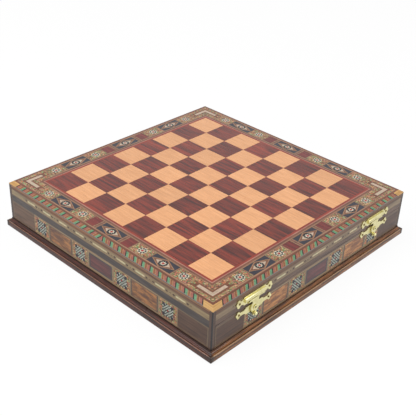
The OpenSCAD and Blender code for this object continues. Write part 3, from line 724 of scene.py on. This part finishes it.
def lay_star(work, place, radius, at, tips):
    """Red heart, eight white rays, black squares between them, and tips of two woods."""
    side = radius / STAR_REACH
    for i in range(8):
        a = 45 * i
        both = (a - 22.5, a + 22.5)
        near = [ray(STAR_HEART * side, b, at) for b in both]
        left, right = [ray(side, b, at) for b in both]
        last_notch, notch = [ray(side * STAR_NOTCH, b, at) for b in both]
        tip, next_tip = [ray(side * STAR_TIP, b, at) for b in (a, a + 45)]
        end = ray(radius, a, at)
        work.lay([at, near[0], near[1]], RED, place, joint=seam / 2)
        work.lay([near[0], left, tip, right, near[1]], WHITE, place, joint=seam)
        work.lay([right, tip, notch, next_tip], BLACK, place, joint=seam)
        work.lay([tip, last_notch, end], tips[0], place, joint=seam)
        work.lay([tip, end, notch], tips[1], place, joint=seam)


def lay_ground(work, place, outline, at, half_l, half_w, wood):
    """Fills the ground between a star's outline and the rectangle round it."""
    corner = math.degrees(math.atan2(half_w, half_l))

    def edge(angle):
        c, s = math.cos(math.radians(angle)), math.sin(math.radians(angle))
        reach = min(half_l / max(abs(c), 1e-9), half_w / max(abs(s), 1e-9))
        return (at[0] + reach * c, at[1] + reach * s)

    for i in range(16):
        a, b = 22.5 * i, 22.5 * (i + 1)
        ring = [outline[i], edge(a)]
        ring += [edge(c) for c in (corner, 180 - corner, 180 + corner, 360 - corner) if a < c < b]
        ring += [edge(b), outline[(i + 1) % 16]]
        work.lay(ring, wood, place)


# ---- border of the top ----


def lay_band(work, side, wood, near, far):
    """A strip that runs the whole side, mitred, between two distances from the middle."""
    work.lay([(-far, -far), (far, -far), (near, -near), (-near, -near)], wood, on_top(side))


def lay_corner_band(work, side, wood, near, far, start, stop=None):
    """A strip at both ends of a side, from start to the mitre, or to stop."""
    for s in (-1, 1):
        outer, inner_end = (far, near) if stop is None else (stop, stop)
        ring = [(start, -far), (outer, -far), (inner_end, -near), (start, -near)]
        work.lay([(s * u, v) for u, v in ring], wood, on_top(side))


def star_cells():
    return [(s * x, length) for x, length in ((star_x, inner_star_l), (end_star_x, outer_star_l))
            for s in (-1, 1)]


def border_bands():
    """Lines and mosaic strips round the field and in the corners, and the stars' grounds."""
    work = Marquetry(PALE, PINK_LINE, BROWN, RIM, GROUND)
    strips = [(PINK_LINE, line_out, pink_out), (RIM, pink_out, rim_out), (BROWN, rim_out, row_in),
              (PINK_LINE, row_out, outer_pink), (RIM, outer_pink, flat)]
    corner_strips = [(PALE, row_in, row_out, row_l, cross_x),
                     (GROUND, row_in, bar_rim_in, cross_x),
                     (RIM, bar_rim_in, bar_in, cross_x),
                     (RIM, bar_in, bar_out, bar_wood_x, bar_end),
                     (GROUND, bar_in, bar_out, cross_x, bar_wood_x),
                     (RIM, bar_out, bar_rim_out, cross_x),
                     (GROUND, bar_rim_out, row_out, cross_x)]
    for side in range(4):
        for strip in strips:
            lay_band(work, side, *strip)
        for strip in corner_strips:
            lay_corner_band(work, side, *strip)
        for x, length in star_cells():
            at = (x, -cell_mid)
            outline = star_outline(cell_star_r, at)
            lay_ground(work, on_top(side), outline, at, length / 2, cell_w / 2, GROUND)
    work.piece("border_bands", "root", "mosaic_ground", "border_ground")


def row_gaps():
    """The stretches between the cells of a row, from its middle to its end."""
    cells = [(0, lozenge_l), (tile_x, tile_l), (star_x, inner_star_l), (lozenge_x, lozenge_l),
             (end_star_x, outer_star_l)]
    return [(x + length / 2, x2 - length2 / 2)
            for (x, length), (x2, length2) in zip(cells, cells[1:])]


def gap_cuts(u0, u1):
    """Boxwood between the hairlines of two cells, with walnut in it where they lie apart."""
    cuts = [(u0, u0 + hair, HAIR), (u0 + hair, u1 - hair, PALE), (u1 - hair, u1, HAIR)]
    if u1 - u0 > 3 * cell_line:
        cuts[1:2] = [(u0 + hair, u0 + pair_line, PALE), (u0 + pair_line, u1 - pair_line, BROWN),
                     (u1 - pair_line, u1 - hair, PALE)]
    return cuts


def cell_frames():
    """Boxwood lines round the cells, with a dark hairline against each cell."""
    work = Marquetry(PALE, HAIR, BROWN)
    half = cell_w / 2
    for side in range(4):
        place = on_top(side)
        for s in (-1, 1):
            near = -cell_mid + s * half
            work.lay(rectangle(-row_l, row_l, near, near + s * hair), HAIR, place)
            work.lay(rectangle(-row_l, row_l, near + s * hair, near + s * cell_line), PALE, place)
            for u0, u1 in row_gaps():
                for a, b, wood in gap_cuts(u0, u1):
                    ring = rectangle(s * a, s * b, -cell_mid - half, -cell_mid + half)
                    work.lay(ring, wood, place)
    work.piece("cell_frames", "root", "pale_line", "border_lines")


def lay_lozenge(work, place, x):
    """A lozenge with a boxwood rim, pearl points beside its star, and walnut tips."""
    a, b, rim, point = lozenge_l / 2, cell_w / 2, 0.86, 11.6
    star = star_outline(lozenge_star_r, (0, 0))

    def lay(outline, wood, sx, sy=1):
        work.lay([(x + sx * u, -cell_mid + sy * v) for u, v in outline], wood, place)

    for sx in (-1, 1):
        lay([(point, 0), star[2], star[1], star[0], star[-1], star[-2]], PEARL_DUSK, sx)
        for sy in (-1, 1):
            lay([(a, 0), (0, b), (0, rim * b), (rim * a, 0)], PALE, sx, sy)
            ring = [(rim * a, 0), (0, rim * b), star[4], star[3], star[2], (point, 0)]
            lay(ring, LOZENGE, sx, sy)
    lay_star(work, place, lozenge_star_r, (x, -cell_mid), (NIGHT, BLACK))


def lozenge_mosaics():
    work = Marquetry(PALE, LOZENGE, PEARL_DUSK, RED, WHITE, BLACK, NIGHT)
    for side in range(4):
        for x in (-lozenge_x, 0, lozenge_x):
            lay_lozenge(work, on_top(side), x)
    work.piece("lozenge_mosaics", "root", "lozenge_wood", "border_lozenges")


def star_mosaics():
    work = Marquetry(RED, WHITE, BLACK)
    for side in range(4):
        for x, _ in star_cells():
            lay_star(work, on_top(side), cell_star_r, (x, -cell_mid), (WHITE, WHITE))
    work.piece("star_mosaics", "root", "star_mosaic", "border_stars")


# ---- edge of the top ----


def rope_stripes():
    """Slanted stripes on the bevel, which lean to the middle of each side, and below them a lip
    that is a painted highlight along the bevel's lower edge.
    """
    work = Marquetry(BLACK, CREAM, PINK, SIENNA, GREEN, LIP_HIGHLIGHT)
    stripes = [(BLACK, 1.7), (PINK, 3.8), (CREAM, 1.3), (SIENNA, 2.1), (CREAM, 1.3), (GREEN, 3.8)]
    lip, start = 0.4, body - corner_block
    drop = block_lean / bevel_w * (bevel_w - lip)

    def height(v):
        return bevel_h / bevel_w * (v + flat)

    for side in range(4):
        for s in (-1, 1):
            u, i = -start, 0
            while u < block_lean:
                wood, width = stripes[i % len(stripes)]
                ring = left_part([(u - drop, lip - body), (u + width - drop, lip - body),
                                  (u + width, -flat), (u, -flat)])
                if len(ring) > 2:
                    work.lay([(-s * a, b) for a, b in ring], wood, on_top(side), height,
                             bevel_h + lip_h)
                u, i = u + width, i + 1
        # The lip: a painted highlight along the lower edge of the bevel.
        long, short = start + block_lean, start + drop
        ring = [(-long, -body), (long, -body), (short, lip - body), (-short, lip - body)]
        work.lay(ring, LIP_HIGHLIGHT, on_top(side), height, bevel_h + lip_h)
    work.piece("rope_stripes", "root", "rope_mosaic", "rope_edging")


# ---- sides ----


def lay_board(work, place, s, u0, u1, last):
    """The board between two bars, cut out round its dark diamonds, and those diamonds.
    s is 1 in the right half of the side and -1 in the left one."""
    middles = [u0 + gem_off, u0 + end_gem_off]
    if not last:
        middles = [u0 + gem_off, (u0 + u1) / 2, u1 - gem_off]
    gems = list(zip(middles, (gem, small_gem, gem)))
    for up in (-1, 1):
        top = strip_mid + up * ((pearl_z - dark_z) / 2 - strip_line)
        ring = [(u0, strip_mid), (u0, top), (u1, top), (u1, strip_mid)]
        for c, (a, b) in reversed(gems):
            ring += [(c + a, strip_mid), (c, strip_mid + up * b), (c - a, strip_mid)]
        work.lay([(s * a, b) for a, b in ring], OLIVE, place)
    for c, (a, b) in gems:
        ring = [(c - a, strip_mid), (c, strip_mid - b), (c + a, strip_mid), (c, strip_mid + b)]
        work.lay([(s * p, q) for p, q in ring], HAIR, place, joint=seam)


def pearl_boards():
    """The strip with the pearl bars: a line at each edge and dark diamonds between the bars."""
    work = Marquetry(OLIVE, OLIVE_LINE, HAIR)
    low, high, half = dark_z + strip_line, pearl_z - strip_line, pearl_bar_h / 2
    bars = [(0, pearl_mid_l)]
    bars += [(pearl_x + i * (pearl_l + pearl_gap), pearl_l) for i in range(pearls)]
    for side in range(4):
        place = on_face(side)
        for v in (dark_z, high):
            work.lay(rectangle(-side_l, side_l, v, v + strip_line), OLIVE_LINE, place)
        for s in (-1, 1):
            for i, (x, length) in enumerate(bars):
                u0, u1 = x - length / 2, x + length / 2
                if s > 0 or x > 0:
                    for v0, v1 in ((low, strip_mid - half), (strip_mid + half, high)):
                        work.lay(rectangle(s * u0, s * u1, v0, v1), OLIVE, place)
                last = i == pearls
                end = side_l if last else bars[i + 1][0] - bars[i + 1][1] / 2
                lay_board(work, place, s, u1, end, last)
    work.piece("pearl_strip_boards", "root", "olive_strip", "pearl_strips")


def lay_frame(work, place, x, wood, outer, inner):
    """A mitred frame on a side, between two half sizes of length and height."""
    (a, b), (c, d) = outer, inner
    for s in (-1, 1):
        work.lay([(x - a, window_mid + s * b), (x + a, window_mid + s * b),
                  (x + c, window_mid + s * d), (x - c, window_mid + s * d)], wood, place)
        work.lay([(x + s * a, window_mid - b), (x + s * a, window_mid + b),
                  (x + s * c, window_mid + d), (x + s * c, window_mid - d)], wood, place)


def lay_framed(work, place, x, length, frames, wood):
    """A veneer with frames round it. Each frame has a wood and its widths at end and side."""
    a, b = length / 2, window_h / 2
    for rim, end, edge in frames:
        lay_frame(work, place, x, rim, (a, b), (a - end, b - edge))
        a, b = a - end, b - edge
    work.lay(rectangle(x - a, x + a, window_mid - b, window_mid + b), wood, place)


def veneer_panels(name, body_name, node_name, sides):
    work = Marquetry(BURL, WALNUT, PANEL_EDGE)
    for side in sides:
        place = on_face(side)
        for s in (-1, 1):
            lay_framed(work, place, s * burl_x, burl_l - panel_gap, [(PANEL_EDGE, 2.4, 1.0)], BURL)
            lay_framed(work, place, s * (end_panel_x + end_panel_l / 2), end_panel_l - panel_gap,
                       [], WALNUT)
    work.piece(name, body_name, "burl", node_name)


def middle_panels(name, body_name, node_name, sides):
    work = Marquetry(PLUM, PLUM_EDGE, OLIVE)
    frames = [(OLIVE, 1.6, 1.4), (PLUM_EDGE, 2.6, 2.4)]
    for side in sides:
        lay_framed(work, on_face(side), 0, middle_l - panel_gap, frames, PLUM)
    work.piece(name, body_name, "middle_veneer", node_name)


def star_chip(p, q):
    """The wood of a chip, by its steps from the middle of the star."""
    reach = abs(p) + abs(q)
    if min(abs(p), abs(q)) > 2:
        return NIGHT
    if (p + q) % 2 or reach >= 7:
        return BLACK
    return GREY if reach else RED


def star_panels(name, body_name, node_name, sides):
    """A chequered star of small chips in a mosaic frame."""
    work = Marquetry(GROUND_UPRIGHT, HAIR, BLACK, GREY, NIGHT, RED)
    count, size = 9, 2.0
    half = count * size / 2
    line = half + hair
    outer = ((star_panel_l - panel_gap) / 2, (window_h - panel_gap) / 2)
    for side in sides:
        place = on_face(side)
        for x in (star_panel_x, end_star_panel_x, -star_panel_x, -end_star_panel_x):
            lay_frame(work, place, x, GROUND_UPRIGHT, outer, (line, line))
            lay_frame(work, place, x, HAIR, (line, line), (half, half))
            for i in range(count):
                for j in range(count):
                    p, q = i - count // 2, j - count // 2
                    cx, cz = x + p * size, window_mid + q * size
                    ring = rectangle(cx - size / 2, cx + size / 2, cz - size / 2, cz + size / 2)
                    work.lay(ring, star_chip(p, q), place, joint=seam)
    work.piece(name, body_name, "star_mosaic", node_name)


# ---- velvet pads ----


def pad_rim(row):
    """The points round the edge of a square grid with so many points in a row."""
    last = row * (row - 1)
    return [*range(row), *range(2 * row - 1, row * row, row),
            *range(row * row - 2, last - 1, -1), *range(last - row, 0, -row)]


def velvet_pad(name, body_name, x, y, floor, node_name):
    """A thin padded board: flat below, crowned above, with rounded edges."""
    steps, half_l, half_w = 20, column_w / 2 - pad_gap, row_d / 2 - pad_gap
    row = steps + 1
    chance = random.Random(name)
    points, faces = [], []
    for j in range(row):
        for i in range(row):
            p, q = [math.sin((k / steps - 0.5) * math.pi) for k in (i, j)]
            crown = (1 - abs(p) ** 6) * (1 - abs(q) ** 6)
            rise = pad_h * (pad_edge + (1 - pad_edge) * crown ** 0.5) - chance.uniform(0, 0.06)
            points.append(((x + p * half_l) * MM, (y + q * half_w) * MM, (floor + rise) * MM))
    for j in range(steps):
        for a in range(j * row, j * row + steps):
            faces.append((a, a + 1, a + row + 1, a + row))
    rim, first = pad_rim(row), len(points)
    points += [(points[k][0], points[k][1], floor * MM) for k in rim]
    for k in range(len(rim)):
        n = (k + 1) % len(rim)
        faces.append((rim[k], first + k, first + n, rim[n]))
    faces.append(tuple(reversed(range(first, len(points)))))
    made = meshed(name, points, faces, VELVET)
    made.data.polygons.foreach_set("use_smooth", [True] * len(faces))
    made.data.update()
    made.modifiers.new("round", "SUBSURF").render_levels = 1
    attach(made, body_name)
    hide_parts(node_name)


def velvet_pads(face, sign):
    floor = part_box(face + "_drawer_bottom")[1].z / MM
    cells = [(i, s) for i in range(columns) for s in (-1, 1)]
    for count, (i, s) in enumerate(cells, 1):
        x = (i + 0.5) * (column_w + board_t) - drawer_in - board_t / 2
        y = sign * (row_mid + s * (row_d + board_t) / 2)
        velvet_pad(f"{face}_velvet_pad_{count}", face + "_drawer", x, y, floor,
                   face + "_drawer_pads")


# ---- finishes of the solids ----

ease = 0.2  # rounding of the edges of brass


def finish_solids(prefix, table):
    """Gives the finishes of a table to the solids whose names start with a prefix."""
    for finish, names in table:
        for name in names.split():
            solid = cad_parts[prefix + name]
            if not solid.material_slots:
                solid.data.materials.append(finish)
            for slot in solid.material_slots:
                slot.material = finish


def eased(prefix, names):
    """Fine rounding of the edges of metal pieces."""
    for name in names.split():
        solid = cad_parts[prefix + name]
        weld = solid.modifiers.new("weld", "WELD")
        weld.merge_threshold = 0.000002
        bevel = solid.modifiers.new("ease", "BEVEL")
        bevel.width, bevel.segments = ease * MM, 2
        bevel.limit_method, bevel.angle_limit = "ANGLE", math.radians(40)


finish_solids("", (
    (PEACH, "light_squares"), (ROSEWOOD, "dark_squares"), (RED_LINE, "field_line_frame"),
    (NIGHT, "border_triangles"), (TILE, "border_tiles"), (PEARL_DUSK, "corner_pearl_bars"),
    (PEARL, "side_pearl_bars"), (MAPLE, "bevel_corner_blocks"), (CORNER, "corner_posts"),
    (SLATE, "dark_bands"), (OLIVE_LINE, "wall_panel_lines"), (MAHOGANY, "base_moulding"),
    (CASE, "side_wall_left side_wall_right top_rails"),
    (INSIDE, "bottom_board middle_wall top_board"), (INSIDE_DEEP, "drawer_kickers"),
    (BRASS, "keepers"), (OLD_BRASS, "keeper_nails")))
eased("", "keepers")
for prefix in ("front_", "back_"):
    finish_solids(prefix, (
        (SLATE, "drawer_face"), (OLIVE_LINE, "panel_lines"), (INSIDE_DEEP, "drawer_sides"),
        (INSIDE, "drawer_back drawer_bottom drawer_boards"),
        (BRASS, "clasp_plates hook_left hook_right"), (RIVET_BRASS, "clasp_rivets"),
        (OLD_BRASS, "clasp_nails")))
    eased(prefix, "clasp_plates clasp_rivets hook_left hook_right")

border_bands()
cell_frames()
lozenge_mosaics()
star_mosaics()
rope_stripes()
pearl_boards()
for prefix, body_name, sides in (("wall", "root", (1, 3)), ("front", "front_drawer", (0,)),
                                 ("back", "back_drawer", (2,))):
    middle_node = "wall_middle_panels" if prefix == "wall" else prefix + "_middle_panel"
    veneer_panels(prefix + "_veneers", body_name, prefix + "_veneer_panels", sides)
    middle_panels(prefix + "_middles", body_name, middle_node, sides)
    star_panels(prefix + "_star_mosaics", body_name, prefix + "_star_panels", sides)
velvet_pads("front", -1)
velvet_pads("back", 1)

# ---- floor, light and background ----

floor_size = 6.0
floor_white = 0.92  # share of plain white that the camera sees of the floor
sky_light = 0.55


def seen(tree):
    """1 for rays from the camera and those mirrored or let through, and 0 for the light."""
    path = node(tree, "LightPath").outputs
    some = figure(tree, "MAXIMUM", path["Is Camera Ray"], path["Is Glossy Ray"])
    return figure(tree, "MAXIMUM", some, path["Is Transmission Ray"])


def make_floor():
    half = floor_size / 2
    corners = [(x, y, 0) for x, y in rectangle(-half, half, -half, half)]
    finish, tree, shader, _ = new_finish("floor_white", 0.1, roughness=0.9)
    shader.inputs["Base Color"].default_value = (0.9, 0.9, 0.9, 1)
    white = node(tree, "Emission", {"Color": (1, 1, 1, 1), "Strength": 1.0})
    share = figure(tree, "MULTIPLY", seen(tree), floor_white)
    both = node(tree, "MixShader", {0: share, 1: shader.outputs[0], 2: white.outputs[0]})
    tree.links.new(both.outputs[0], tree.nodes["Material Output"].inputs[0])
    floor = meshed("floor", corners, [(0, 1, 2, 3)], finish)


def make_world():
    world = bpy.data.worlds.new("studio")
    bpy.context.scene.world = world
    world.use_nodes = True
    tree = world.node_tree
    light = tree.nodes["Background"]
    light.inputs["Color"].default_value = (1, 1, 1, 1)
    light.inputs["Strength"].default_value = sky_light
    white = node(tree, "Background", {0: (1, 1, 1, 1), 1: 1.0})
    both = node(tree, "MixShader", {0: seen(tree), 1: light.outputs[0], 2: white.outputs[0]})
    tree.links.new(both.outputs[0], tree.nodes["World Output"].inputs[0])


def make_lamp(name, at, size, watts):
    lamp = bpy.data.lights.new(name, "AREA")
    lamp.size, lamp.energy = size, watts
    made = added(name, lamp)
    made.location = at
    made.rotation_euler = (-Vector(at)).to_track_quat("-Z", "Y").to_euler()


make_floor()
make_world()
make_lamp("lamp_over", (-0.4, 0.5, 2.2), 1.6, 26)
make_lamp("lamp_left", (-1.6, 0.4, 1.0), 1.0, 10.5)
make_lamp("lamp_front", (0.6, -2.0, 1.1), 1.2, 18)
bpy.context.scene.view_settings.view_transform = "Standard"

bpy.context.view_layer.update()
